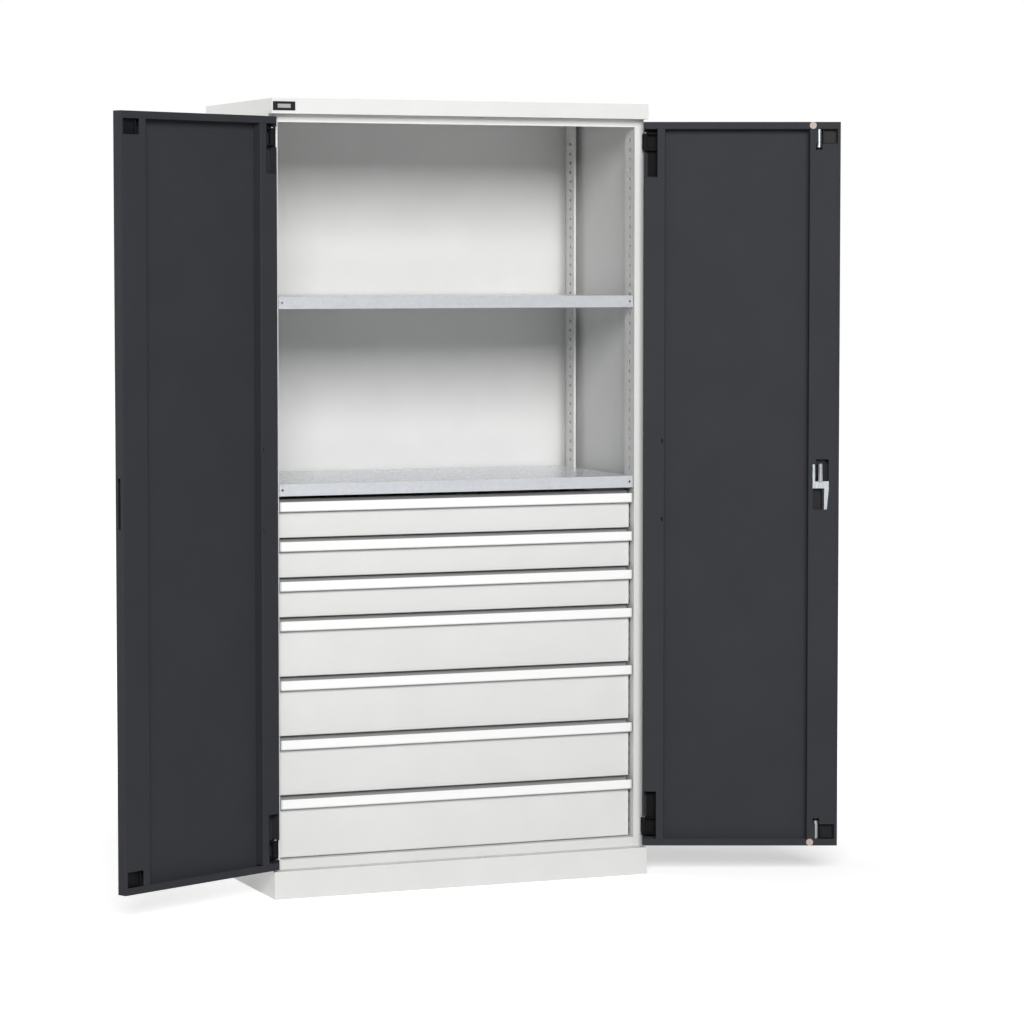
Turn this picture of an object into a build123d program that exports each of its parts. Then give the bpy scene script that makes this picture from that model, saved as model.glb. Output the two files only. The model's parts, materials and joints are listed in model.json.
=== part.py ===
"""Two-door tool cabinet: steel body on a plinth, two shelves, seven drawers, rod lock.

Frame: millimetres, origin on the floor at the middle of the footprint, front towards -Y.
The doors are built standing open, as turned about their hinge pins from the closed place.
"""
from build123d import *
from math import cos, radians, sin
import os

# Body
WIDTH = 1020.0
DEPTH = 550.0
HEIGHT = 2000.0
SHEET = 1.5
CAP_HEIGHT = 38.0
CAP_LIP = 30.0
PLINTH_HEIGHT = 70.0
PLINTH_LIP = 40.0
BASE_RAIL = 24.0
HEADER = 20.0
POST_WIDTH = 25.0
POST_RETURN = 22.0

# Doors, measured closed
DOOR_THICKNESS = 28.0
DOOR_SEAT_GAP = 2.0
DOOR_TOP_GAP = 7.0
DOOR_BOTTOM_GAP = 5.0
DOOR_SIDE_GAP = 1.0
DOOR_MEETING_GAP = 3.0
DOOR_RAIL = 18.0
BEND_RADIUS = 2.5
DOOR_LIP = 8.0
HINGE_STILE = 55.0
FREE_STILE = 80.0
LEFT_DOOR_ANGLE = 155.0
RIGHT_DOOR_ANGLE = 158.0

# Hinges
PIN_FROM_SIDE = 4.0
PIN_FROM_FRONT = 13.0
PIN_RADIUS = 3.0
PIN_CLEARANCE = 0.05
PIN_HEAD_RADIUS = 5.0
PIN_HEAD_HEIGHT = 2.0
KNUCKLE_RADIUS = 6.5
KNUCKLE_HEIGHT = 38.0
KNUCKLE_FROM_DOOR_END = 51.0
HINGE_ARM = 2.5
HINGE_PLATE_WIDTH = 9.0
HINGE_PLATE_HEIGHT = 56.0
HINGE_PLATE_THICKNESS = 1.5
LUG_THICKNESS = 3.0
LUG_CLEARANCE = 0.2
LEAF_THICKNESS = 2.5
LEAF_START = 8.0
HINGE_WINDOW_START = 4.0
HINGE_WINDOW_WIDTH = 31.0
HINGE_WINDOW_HEIGHT = 124.0
HINGE_NOTCH_MARGIN = 1.0

STILE_SLOT_LEVELS = [1132.0, 929.0]
STILE_SLOT_HEIGHT = 10.0
STILE_SLOT_WIDTH = 3.0
STILE_SLOT_FROM_BEND = 5.0

# Uprights and shelves
FRONT_UPRIGHT_DEPTH = 40.0
REAR_UPRIGHT_DEPTH = 50.0
REAR_UPRIGHT_FROM_BACK = 68.0
SLOT_PITCH = 25.0
SLOT_LENGTH = 14.0
SLOT_HEIGHT = 8.0
REAR_SLOT_FROM_EDGE = 26.0
FRONT_SLOT_FROM_EDGE = 10.0
UPRIGHT_LIP = 6.0
SLOT_END_MARGIN = 40.0
SHELF_HEIGHT = 30.0
SHELF_RETURN = 14.0
SHELF_FRONT_SETBACK = 4.0
SHELF_SIDE_CLEARANCE = 2.0
SHELF_BACK_CLEARANCE = 8.0
UPPER_SHELF_TOP = 1508.0
LOWER_SHELF_TOP = 1040.0
SHELF_HOLE_RADIUS = 3.0
SHELF_HOLE_FROM_END = 9.0
HOOK_REACH = 12.0
HOOK_LENGTH = 24.0
HOOK_THICKNESS = 3.0
HOOK_TAB = 1.5
HOOK_TAB_HEIGHT = 18.0

# Drawers, from the top one down
DRAWER_MODULES = [100.0, 100.0, 100.0, 150.0, 150.0, 150.0, 158.0]
STACK_GAP = 0.5
FRONT_GAP = 3.0
FRONT_SIDE_CLEARANCE = 5.0
FRONT_THICKNESS = 18.0
FRONT_SETBACK = 20.0
GRIP_SIDE_CLEARANCE = 3.0
GRIP_HEIGHT = 25.0
GRIP_DROP = 6.0
GRIP_PROJECTION = 16.0
GRIP_WALL = 2.0
GRIP_CAP_WIDTH = 4.0
DRAWER_DEPTH = 440.0
DRAWER_TOP_CLEARANCE = 16.0
DRAWER_FLOOR_LIFT = 6.0
RUNNER_HEIGHT = 22.0
RUNNER_DEPTH = 9.0
RUNNER_WALL = 2.0
RUNNER_LENGTH = 420.0
RUNNER_CLEARANCE = 0.3
RUNNER_LIFT = 12.0
RAIL_LENGTH = 430.0

# Rod lock in the right door
ROD_RADIUS = 7.0
ROD_FROM_FREE_EDGE = 55.5
ROD_DEPTH = 11.0
ROD_HOLE_CLEARANCE = 1.0
GUIDE_WIDTH = 24.0
GUIDE_HEIGHT = 14.0
GUIDE_CLEARANCE = 0.1
GUIDE_FROM_ROD_END = 64.0
CORNER_WINDOW_WIDTH = 50.0
CORNER_WINDOW_HEIGHT = 38.0
ROD_SLOT_WIDTH = 17.0
ROD_SLOT_HEIGHT = 15.0
LOCK_HEIGHT = 1018.0
LOCK_CASE_WIDTH = 42.0
LOCK_CASE_HEIGHT = 132.0
LOCK_CASE_DEPTH = 7.5
LOCK_CASE_WALL = 1.2
COVER_TO_BARREL = 0.6
CAM_RADIUS = 18.0
CAM_THICKNESS = 3.0
CAM_GAP = 0.3
TAIL_WIDTH = 10.0
TAIL_GAP = 1.5
LOCK_WINDOW_WIDTH = 33.0
LOCK_WINDOW_HEIGHT = 60.0
LOCK_WINDOW_LIFT = 6.0
LOCK_WINDOW_SHIFT = 12.0
LOWER_WINDOW_WIDTH = 24.0
LOWER_WINDOW_HEIGHT = 53.0
LOWER_WINDOW_DROP = 11.0
STRIKE_WIDTH = 9.0
STRIKE_HEIGHT = 122.0
STRIKE_FROM_FACE = 9.0
BRACKET_THICKNESS = 2.0
BRACKET_WIDTH = 42.0
BRACKET_HEIGHT = 18.0
BRACKET_SHIFT = 8.0
BRACKET_TONGUE = 6.0
BRACKET_TONGUE_HEIGHT = 62.0
LEVER_WIDTH = 12.0
LEVER_TIP_WIDTH = 7.0
LEVER_DROP = 55.0
BARREL_RADIUS = 8.5
BARREL_LENGTH = 48.0
SPINDLE_RADIUS = 5.0
SPINDLE_CLEARANCE = 0.1
HUB_RADIUS = 17.0
HANDLE_LENGTH = 118.0
HANDLE_WIDTH = 20.0
HANDLE_THICKNESS = 12.0
HANDLE_GAP = 0.3
KEY_BARREL_RADIUS = 6.0
KEY_BARREL_PROUD = 1.5
KEY_SLOT_WIDTH = 1.6
KEY_SLOT_DEPTH = 2.0
BUFFER_RADIUS = 9.0
BUFFER_THICKNESS = 1.6
BUFFER_FROM_FREE_EDGE = 71.5

# Bare plate on the cap
PLATE_WIDTH = 58.0
PLATE_HEIGHT = 22.0
PLATE_THICKNESS = 2.0
PLATE_RIM = 12.0
PLATE_RECESS = 0.8
PLATE_FROM_SIDE = 3.0

# Places worked out from the sizes above
HALF = WIDTH / 2
FRONT = -DEPTH / 2
BACK = DEPTH / 2
FRAME = FRONT + DOOR_THICKNESS + DOOR_SEAT_GAP
CAP_BOTTOM = HEIGHT - CAP_HEIGHT
INSIDE = HALF - POST_WIDTH
FLOOR_TOP = PLINTH_HEIGHT + BASE_RAIL
DOOR_BOTTOM = PLINTH_HEIGHT + DOOR_BOTTOM_GAP
DOOR_TOP = CAP_BOTTOM - DOOR_TOP_GAP
# A door's own frame: origin on its pin, x along the closed door, y towards the cabinet
DOOR_EDGE = DOOR_SIDE_GAP - PIN_FROM_SIDE
DOOR_END = HALF - PIN_FROM_SIDE - DOOR_MEETING_GAP / 2
DOOR_OUTER = -PIN_FROM_FRONT
DOOR_INNER = DOOR_OUTER + DOOR_THICKNESS
PIN_Y = FRONT + PIN_FROM_FRONT
KNUCKLE_LEVELS = [
    DOOR_BOTTOM + KNUCKLE_FROM_DOOR_END,
    DOOR_TOP - KNUCKLE_FROM_DOOR_END,
]
LUG_BOTTOM = KNUCKLE_HEIGHT / 2 + LUG_CLEARANCE
LUG_TOP = LUG_BOTTOM + LUG_THICKNESS
NOTCH_HALF = LUG_TOP + PIN_HEAD_HEIGHT + HINGE_NOTCH_MARGIN
RAIL_LEVELS = (DOOR_BOTTOM + DOOR_RAIL, DOOR_TOP - DOOR_RAIL)
ROD_X = DOOR_END - ROD_FROM_FREE_EDGE
ROD_Y = DOOR_INNER - ROD_DEPTH
CASE_FACE = DOOR_OUTER + SHEET + LOCK_CASE_DEPTH
CASE_LEVELS = (LOCK_HEIGHT - LOCK_CASE_HEIGHT / 2, LOCK_HEIGHT + LOCK_CASE_HEIGHT / 2)
CAM_POCKET_FACE = CASE_FACE + 2 * CAM_GAP + CAM_THICKNESS
CASE_COVER_FACE = CAM_POCKET_FACE + LOCK_CASE_WALL
FRONT_FACE = FRAME + FRONT_SETBACK
FRONT_BACK = FRONT_FACE + FRONT_THICKNESS
BOX_HALF = INSIDE - RUNNER_DEPTH - RUNNER_CLEARANCE


def door_plane(side, opening):
    """The floor plane of a door's own frame; side is -1 on the left and 1 on the right."""
    turn = radians(-opening) if side < 0 else radians(180 + opening)
    return Plane(
        origin=(side * (HALF - PIN_FROM_SIDE), PIN_Y, 0),
        x_dir=(cos(turn), sin(turn), 0),
        z_dir=(0, 0, 1),
    )


DOOR_PLANES = {
    "left": door_plane(-1, LEFT_DOOR_ANGLE),
    "right": door_plane(1, RIGHT_DOOR_ANGLE),
}
# The right door's frame is turned half round, so its cabinet side is at minus y
INWARD = {"left": 1, "right": -1}


def block(x, y, z, mode=Mode.ADD):
    """A box between two places on each axis, in the builder that is open."""
    lows = [min(span) for span in (x, y, z)]
    highs = [max(span) for span in (x, y, z)]
    middle = [(low + high) / 2 for low, high in zip(lows, highs)]
    size = [high - low for low, high in zip(lows, highs)]
    with Locations(tuple(middle)):
        Box(*size, mode=mode)


def save(part, name):
    part.label = name
    export_step(part, f"parts/{name}.step")


def rod_hole(z, thickness):
    """A hole through a flat lip for a lock rod of the closed right door."""
    with Locations((HALF - PIN_FROM_SIDE - ROD_X, PIN_Y + ROD_Y, z)):
        Cylinder(ROD_RADIUS + ROD_HOLE_CLEARANCE, 2 * thickness, mode=Mode.SUBTRACT)


def make_cap():
    with BuildPart() as cap:
        block((-HALF, HALF), (FRONT, BACK), (CAP_BOTTOM, HEIGHT))
        block(
            (SHEET - HALF, HALF - SHEET),
            (FRONT + SHEET, BACK - SHEET),
            (CAP_BOTTOM + SHEET, HEIGHT - SHEET),
            Mode.SUBTRACT,
        )
        block(
            (CAP_LIP - HALF, HALF - CAP_LIP),
            (FRONT + CAP_LIP, BACK - CAP_LIP),
            (CAP_BOTTOM, CAP_BOTTOM + SHEET),
            Mode.SUBTRACT,
        )
        rod_hole(CAP_BOTTOM + SHEET / 2, SHEET)
    save(cap.part, "cap")


def make_plinth():
    with BuildPart() as plinth:
        block((-HALF, HALF), (FRONT, BACK), (0, PLINTH_HEIGHT))
        block(
            (SHEET - HALF, HALF - SHEET),
            (FRONT + SHEET, BACK - SHEET),
            (SHEET, PLINTH_HEIGHT - SHEET),
            Mode.SUBTRACT,
        )
        block(
            (PLINTH_LIP - HALF, HALF - PLINTH_LIP),
            (FRONT + PLINTH_LIP, BACK - PLINTH_LIP),
            (0, PLINTH_HEIGHT),
            Mode.SUBTRACT,
        )
        rod_hole(PLINTH_HEIGHT - SHEET / 2, SHEET)
    save(plinth.part, "plinth")


def make_side(side, name):
    """A side wall, bent round its front edge into a door post."""
    height = (PLINTH_HEIGHT, CAP_BOTTOM)
    with BuildPart() as panel:
        block((side * HALF, side * (HALF - SHEET)), (FRAME, BACK - SHEET), height)
        block((side * HALF, side * INSIDE), (FRAME, FRAME + SHEET), height)
        post_return = (side * INSIDE, side * (INSIDE + SHEET))
        block(post_return, (FRAME, FRAME + POST_RETURN), height)
    save(panel.part, name)


def make_back():
    with BuildPart() as back:
        block((-HALF, HALF), (BACK - SHEET, BACK), (PLINTH_HEIGHT, CAP_BOTTOM))
    save(back.part, "back_panel")


def make_roof():
    with BuildPart() as roof:
        depth = (FRAME, BACK - SHEET)
        block((-INSIDE, INSIDE), depth, (CAP_BOTTOM - SHEET, CAP_BOTTOM))
        header = (CAP_BOTTOM - HEADER, CAP_BOTTOM)
        block((-INSIDE, INSIDE), (FRAME, FRAME + SHEET), header)
    save(roof.part, "roof_panel")


def make_floor():
    with BuildPart() as floor:
        depth = (FRAME, BACK - SHEET)
        block((-INSIDE, INSIDE), depth, (FLOOR_TOP - SHEET, FLOOR_TOP))
        block((-INSIDE, INSIDE), (FRAME, FRAME + SHEET), (PLINTH_HEIGHT, FLOOR_TOP))
        block(
            (-INSIDE, INSIDE),
            (BACK - 2 * SHEET, BACK - SHEET),
            (PLINTH_HEIGHT, FLOOR_TOP),
        )
    save(floor.part, "floor_panel")


def upright(side, front, depth, slot_from_edge, lip_at_front):
    """One channel slotted at the shelf pitch, with a short lip on one edge."""
    web = (side * INSIDE, side * (HALF - SHEET))
    height = (PLINTH_HEIGHT, CAP_BOTTOM)
    block(web, (front, front + depth), height)
    hollow = (side * (INSIDE + SHEET), side * (HALF - SHEET))
    block(hollow, (front + SHEET, front + depth - SHEET), height, Mode.SUBTRACT)
    lip_edge = front if lip_at_front else front + depth - SHEET
    beyond_lip = (side * (INSIDE + UPRIGHT_LIP), side * (HALF - SHEET))
    block(beyond_lip, (lip_edge, lip_edge + SHEET), height, Mode.SUBTRACT)
    slot_room = CAP_BOTTOM - PLINTH_HEIGHT - 2 * SLOT_END_MARGIN
    slots = int(slot_room // SLOT_PITCH) + 1
    place = Plane(
        origin=(
            side * INSIDE,
            front + slot_from_edge,
            PLINTH_HEIGHT + SLOT_END_MARGIN + (slots - 1) * SLOT_PITCH / 2,
        ),
        x_dir=(0, 1, 0),
        z_dir=(side, 0, 0),
    )
    with BuildSketch(place) as row:
        with GridLocations(0, SLOT_PITCH, 1, slots):
            SlotOverall(SLOT_LENGTH, SLOT_HEIGHT)
    extrude(row.sketch, amount=SHEET, mode=Mode.SUBTRACT)


def make_uprights():
    rear = BACK - REAR_UPRIGHT_FROM_BACK - REAR_UPRIGHT_DEPTH
    with BuildPart() as uprights:
        for side in (-1, 1):
            upright(side, FRAME + POST_RETURN, FRONT_UPRIGHT_DEPTH, FRONT_SLOT_FROM_EDGE, False)
            upright(side, rear, REAR_UPRIGHT_DEPTH, REAR_SLOT_FROM_EDGE, True)
    save(uprights.part, "slotted_uprights")


def make_shelf(top, name):
    """A tray folded down on all sides, with a second fold under its front."""
    half = INSIDE - SHELF_SIDE_CLEARANCE
    front = FRAME + SHELF_FRONT_SETBACK
    back = BACK - SHEET - SHELF_BACK_CLEARANCE
    with BuildPart() as shelf:
        block((-half, half), (front, back), (top - SHELF_HEIGHT, top))
        block(
            (SHEET - half, half - SHEET),
            (front + SHEET, back - SHEET),
            (top - SHELF_HEIGHT + SHEET, top - SHEET),
            Mode.SUBTRACT,
        )
        block(
            (SHEET - half, half - SHEET),
            (front + SHELF_RETURN, back - SHEET),
            (top - SHELF_HEIGHT, top - SHEET),
            Mode.SUBTRACT,
        )
        with Locations(Plane.XZ.offset(-front)):
            spacing = 2 * (half - SHELF_HOLE_FROM_END)
            with GridLocations(spacing, 1, 2, 1):
                with Locations((0, top - SHELF_HEIGHT / 2)):
                    Cylinder(SHELF_HOLE_RADIUS, 3 * SHEET, mode=Mode.SUBTRACT)
    save(shelf.part, name)


def make_hooks():
    """The angle hooks on the uprights that carry the shelves at their corners."""
    rear = BACK - REAR_UPRIGHT_FROM_BACK - REAR_UPRIGHT_DEPTH
    rows = (
        FRAME + POST_RETURN + FRONT_UPRIGHT_DEPTH / 2,
        rear + REAR_UPRIGHT_DEPTH / 2,
    )
    with BuildPart() as hooks:
        for top in (UPPER_SHELF_TOP, LOWER_SHELF_TOP):
            seat = top - SHELF_HEIGHT
            for side in (-1, 1):
                for middle in rows:
                    along = (middle - HOOK_LENGTH / 2, middle + HOOK_LENGTH / 2)
                    reach = (side * INSIDE, side * (INSIDE - HOOK_REACH))
                    block(reach, along, (seat - HOOK_THICKNESS, seat))
                    tab = (side * INSIDE, side * (INSIDE - HOOK_TAB))
                    block(tab, along, (seat - HOOK_THICKNESS, seat + HOOK_TAB_HEIGHT))
    save(hooks.part, "shelf_hooks")


def make_name_plate():
    """A plain plate: a rim round a bare sunk face."""
    left = PLATE_FROM_SIDE - HALF
    middle = CAP_BOTTOM + CAP_HEIGHT / 2
    face = FRONT - PLATE_THICKNESS
    with BuildPart() as plate:
        height = (middle - PLATE_HEIGHT / 2, middle + PLATE_HEIGHT / 2)
        block((left, left + PLATE_WIDTH), (face, FRONT), height)
        block(
            (left + PLATE_RIM, left + PLATE_WIDTH - PLATE_RIM),
            (face, face + PLATE_RECESS),
            (height[0] + PLATE_RIM / 2, height[1] - PLATE_RIM / 2),
            Mode.SUBTRACT,
        )
    save(plate.part, "plain_plate")


def make_hinge_brackets():
    """Four knuckles, each on an arm from a plate on the front of its post."""
    with BuildPart() as brackets:
        for side in (-1, 1):
            x = side * (HALF - PIN_FROM_SIDE)
            for level in KNUCKLE_LEVELS:
                span = (level - KNUCKLE_HEIGHT / 2, level + KNUCKLE_HEIGHT / 2)
                block((x - HINGE_ARM / 2, x + HINGE_ARM / 2), (PIN_Y, FRAME), span)
                block(
                    (side * HALF, side * (HALF - HINGE_PLATE_WIDTH)),
                    (FRAME - HINGE_PLATE_THICKNESS, FRAME),
                    (level - HINGE_PLATE_HEIGHT / 2, level + HINGE_PLATE_HEIGHT / 2),
                )
                with Locations((x, PIN_Y, level)):
                    Cylinder(KNUCKLE_RADIUS, KNUCKLE_HEIGHT)
                    bore = PIN_RADIUS + PIN_CLEARANCE
                    Cylinder(bore, KNUCKLE_HEIGHT, mode=Mode.SUBTRACT)
    save(brackets.part, "hinge_brackets")


def make_hinge_pins():
    with BuildPart() as pins:
        for side in (-1, 1):
            for level in KNUCKLE_LEVELS:
                with Locations((side * (HALF - PIN_FROM_SIDE), PIN_Y, level)):
                    Cylinder(PIN_RADIUS, 2 * LUG_TOP)
                    with Locations((0, 0, LUG_TOP + LUG_CLEARANCE / 2)):
                        Cylinder(
                            PIN_HEAD_RADIUS,
                            PIN_HEAD_HEIGHT,
                            align=(Align.CENTER, Align.CENTER, Align.MIN),
                        )
                        Cylinder(PIN_RADIUS, LUG_CLEARANCE)
    save(pins.part, "hinge_pins")


def bend(sheet, plane, x, y, radius):
    """Rounds the upright edge of a sheet that stands at a place in its door's frame."""
    corner = plane.from_local_coords((x, y, sum(RAIL_LEVELS) / 2))
    uprights = sheet.edges().filter_by(Axis.Z)
    fillet(uprights.sort_by_distance(corner)[0], radius)


def make_door_skin(hand):
    """A pan: outer face, four edges, and rails turned in at the top, bottom and free edge."""
    w = INWARD[hand]
    with BuildPart(DOOR_PLANES[hand]) as skin:
        block(
            (DOOR_EDGE, DOOR_END),
            (w * DOOR_OUTER, w * DOOR_INNER),
            (DOOR_BOTTOM, DOOR_TOP),
        )
        for y in (w * DOOR_OUTER, w * DOOR_INNER):
            bend(skin, DOOR_PLANES[hand], DOOR_END, y, BEND_RADIUS)
        block(
            (DOOR_EDGE + SHEET, DOOR_END - SHEET),
            (w * (DOOR_OUTER + SHEET), w * (DOOR_INNER - SHEET)),
            (DOOR_BOTTOM + SHEET, DOOR_TOP - SHEET),
            Mode.SUBTRACT,
        )
        for y in (w * (DOOR_OUTER + SHEET), w * (DOOR_INNER - SHEET)):
            bend(skin, DOOR_PLANES[hand], DOOR_END - SHEET, y, BEND_RADIUS - SHEET)
        block(
            (DOOR_EDGE + SHEET, DOOR_END - DOOR_LIP),
            (w * (DOOR_INNER - SHEET), w * DOOR_INNER),
            RAIL_LEVELS,
            Mode.SUBTRACT,
        )
        for level in KNUCKLE_LEVELS:
            block(
                (DOOR_EDGE, DOOR_EDGE + SHEET),
                (w * (DOOR_OUTER + SHEET), w * DOOR_INNER),
                (level - NOTCH_HALF, level + NOTCH_HALF),
                Mode.SUBTRACT,
            )
        if hand == "left":
            block(
                (DOOR_END - SHEET, DOOR_END),
                (DOOR_INNER - STRIKE_FROM_FACE, DOOR_INNER - STRIKE_FROM_FACE - STRIKE_WIDTH),
                (LOCK_HEIGHT - STRIKE_HEIGHT / 2, LOCK_HEIGHT + STRIKE_HEIGHT / 2),
                Mode.SUBTRACT,
            )
        if hand == "right":
            for z in (DOOR_BOTTOM, DOOR_TOP):
                with Locations((ROD_X, w * ROD_Y, z)):
                    hole = ROD_RADIUS + ROD_HOLE_CLEARANCE
                    Cylinder(hole, 3 * SHEET, mode=Mode.SUBTRACT)
            with Locations((ROD_X, w * (DOOR_OUTER + SHEET / 2), LOCK_HEIGHT)):
                hole = SPINDLE_RADIUS + SPINDLE_CLEARANCE
                Cylinder(hole, SHEET, rotation=(90, 0, 0), mode=Mode.SUBTRACT)
    save(skin.part, f"{hand}_door_skin")


def hinge_windows():
    """The two level spans of a hinge stile's windows."""
    low, high = RAIL_LEVELS
    return (low, low + HINGE_WINDOW_HEIGHT), (high - HINGE_WINDOW_HEIGHT, high)


def make_hinge_stile(hand):
    """An angle: a face with two hinge windows, and a web down to the outer sheet."""
    w = INWARD[hand]
    web = DOOR_EDGE + HINGE_STILE
    start = DOOR_EDGE + HINGE_WINDOW_START
    face = (w * (DOOR_INNER - SHEET), w * DOOR_INNER)
    with BuildPart(DOOR_PLANES[hand]) as stile:
        block((DOOR_EDGE + SHEET, web), face, RAIL_LEVELS)
        block((web - SHEET, web), (w * (DOOR_OUTER + SHEET), w * DOOR_INNER), RAIL_LEVELS)
        bend(stile, DOOR_PLANES[hand], web, w * DOOR_INNER, BEND_RADIUS)
        bend(stile, DOOR_PLANES[hand], web - SHEET, face[0], BEND_RADIUS - SHEET)
        slots = (web - STILE_SLOT_FROM_BEND - STILE_SLOT_WIDTH, web - STILE_SLOT_FROM_BEND)
        for middle in STILE_SLOT_LEVELS:
            slot = (middle - STILE_SLOT_HEIGHT / 2, middle + STILE_SLOT_HEIGHT / 2)
            block(slots, face, slot, Mode.SUBTRACT)
        for window, level in zip(hinge_windows(), KNUCKLE_LEVELS):
            block((start, start + HINGE_WINDOW_WIDTH), face, window, Mode.SUBTRACT)
            notch = (max(window[0], level - NOTCH_HALF), min(window[1], level + NOTCH_HALF))
            ends = [z for z in window if z in RAIL_LEVELS]
            block((DOOR_EDGE, start), face, (*notch, *ends), Mode.SUBTRACT)
    save(stile.part, f"{hand}_door_hinge_stile")


def corner_windows():
    """The two level spans of the windows at the ends of a free stile."""
    low, high = RAIL_LEVELS
    return (low, low + CORNER_WINDOW_HEIGHT), (high - CORNER_WINDOW_HEIGHT, high)


def make_free_stile(hand):
    """The angle at the free edge, with corner windows, and the lock's own on the right."""
    w = INWARD[hand]
    web = DOOR_END - FREE_STILE
    face = (w * (DOOR_INNER - SHEET), w * DOOR_INNER)
    edge = DOOR_END - DOOR_LIP
    with BuildPart(DOOR_PLANES[hand]) as stile:
        block((web, edge), face, RAIL_LEVELS)
        block((web, web + SHEET), (w * (DOOR_OUTER + SHEET), w * DOOR_INNER), RAIL_LEVELS)
        bend(stile, DOOR_PLANES[hand], web, w * DOOR_INNER, BEND_RADIUS)
        bend(stile, DOOR_PLANES[hand], web + SHEET, face[0], BEND_RADIUS - SHEET)
        for window in corner_windows():
            block((edge - CORNER_WINDOW_WIDTH, edge), face, window, Mode.SUBTRACT)
        if hand == "right":
            slot = (ROD_X - ROD_SLOT_WIDTH / 2, ROD_X + ROD_SLOT_WIDTH / 2)
            low, high = corner_windows()
            block(slot, face, (low[1], low[1] + ROD_SLOT_HEIGHT), Mode.SUBTRACT)
            block(slot, face, (high[0] - ROD_SLOT_HEIGHT, high[0]), Mode.SUBTRACT)
            middle = ROD_X + LOCK_WINDOW_SHIFT
            bottom = LOCK_HEIGHT + LOCK_WINDOW_LIFT
            block(
                (middle - LOCK_WINDOW_WIDTH / 2, middle + LOCK_WINDOW_WIDTH / 2),
                face,
                (bottom, bottom + LOCK_WINDOW_HEIGHT),
                Mode.SUBTRACT,
            )
            top = LOCK_HEIGHT - LOWER_WINDOW_DROP
            block(
                (ROD_X - LOWER_WINDOW_WIDTH / 2, ROD_X + LOWER_WINDOW_WIDTH / 2),
                face,
                (top - LOWER_WINDOW_HEIGHT, top),
                Mode.SUBTRACT,
            )
    save(stile.part, f"{hand}_door_free_stile")


def make_hinge_leaves(hand):
    """A plate behind each window, with a lug over and under the knuckle."""
    w = INWARD[hand]
    seat = DOOR_OUTER + SHEET
    end = DOOR_EDGE + HINGE_WINDOW_START + HINGE_WINDOW_WIDTH
    lug_radius = KNUCKLE_RADIUS
    with BuildPart(DOOR_PLANES[hand]) as leaves:
        for (low, high), level in zip(hinge_windows(), KNUCKLE_LEVELS):
            plate = (low + LUG_THICKNESS, high - LUG_THICKNESS)
            block((LEAF_START, end), (w * seat, w * (seat + LEAF_THICKNESS)), plate)
            for way in (-1, 1):
                lug = (level + way * LUG_BOTTOM, level + way * LUG_TOP)
                block((0, end), (w * seat, w * lug_radius), lug)
                with Locations((0, 0, (lug[0] + lug[1]) / 2)):
                    Cylinder(lug_radius, LUG_THICKNESS)
                    bore = PIN_RADIUS + PIN_CLEARANCE
                    Cylinder(bore, LUG_THICKNESS, mode=Mode.SUBTRACT)
            block(
                (-2 * lug_radius, LEAF_START / 2),
                (w * seat, -w * lug_radius),
                (low, high),
                Mode.SUBTRACT,
            )
    save(leaves.part, f"{hand}_door_hinge_leaves")


def make_buffers():
    w = INWARD["right"]
    with BuildPart(DOOR_PLANES["right"]) as buffers:
        for z in (DOOR_BOTTOM + DOOR_RAIL / 2, DOOR_TOP - DOOR_RAIL / 2):
            place = (
                DOOR_END - BUFFER_FROM_FREE_EDGE,
                w * (DOOR_INNER + BUFFER_THICKNESS / 2),
                z,
            )
            with Locations(place):
                Cylinder(BUFFER_RADIUS, BUFFER_THICKNESS, rotation=(90, 0, 0))
    save(buffers.part, "right_door_buffers")


def make_lock_case():
    """A case on the outer sheet: a bored base, and a cover over the cam, open at its ends."""
    w = INWARD["right"]
    half = LOCK_CASE_WIDTH / 2
    pocket = half - LOCK_CASE_WALL
    seat = DOOR_OUTER + SHEET
    with BuildPart(DOOR_PLANES["right"]) as case:
        block((ROD_X - half, ROD_X + half), (w * seat, w * CASE_COVER_FACE), CASE_LEVELS)
        block(
            (ROD_X - pocket, ROD_X + pocket),
            (w * CASE_FACE, w * CAM_POCKET_FACE),
            CASE_LEVELS,
            Mode.SUBTRACT,
        )
        with Locations((ROD_X, w * (seat + CASE_FACE) / 2, LOCK_HEIGHT)):
            hole = SPINDLE_RADIUS + SPINDLE_CLEARANCE
            Cylinder(hole, LOCK_CASE_DEPTH, rotation=(90, 0, 0), mode=Mode.SUBTRACT)
    save(case.part, "lock_case")


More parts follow.
